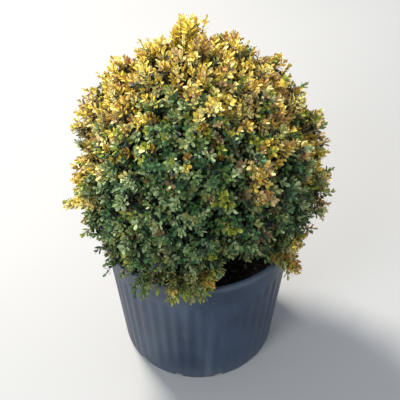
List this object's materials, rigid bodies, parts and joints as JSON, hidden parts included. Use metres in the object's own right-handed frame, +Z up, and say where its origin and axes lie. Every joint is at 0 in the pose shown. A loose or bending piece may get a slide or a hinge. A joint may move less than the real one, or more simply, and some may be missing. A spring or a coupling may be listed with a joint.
{
  "type": "potted clipped box ball shrub",
  "caption": "Clipped box topiary ball with a short stem, sprigs that escape the shears and a round ribbed nursery pot, standing on the pot's flat underside.",
  "frame": {"origin": "centre of the pot's flat underside, at ground level", "axes": "+Z up along the pot's axis, -Y to the plant's front, +X to its right as seen from the front"},
  "size_m": [0.4648, 0.4428, 0.6621],
  "materials": {
    "pot_plastic": "weathered slate blue moulded plastic with shallow ribs",
    "potting_mix": "moist dark composted bark with a few paler chips",
    "bark": "grey-brown, finely fissured bark",
    "foliage": "small glossy leaves, deep green below and golden yellow on the sunny crown"
  },
  "bodies": {
    "root": {"pot": "pot_plastic", "potting_mix": "potting_mix", "trunk": "bark", "bough_top": "bark", "foliage_top": "foliage", "bough_front": "bark", "foliage_front": "foliage", "bough_front_right": "bark", "foliage_front_right": "foliage", "bough_back_right": "bark", "foliage_back_right": "foliage", "bough_back": "bark", "foliage_back": "foliage", "bough_back_left": "bark", "foliage_back_left": "foliage", "bough_front_left": "bark", "foliage_front_left": "foliage"}
  },
  "joints": []
}
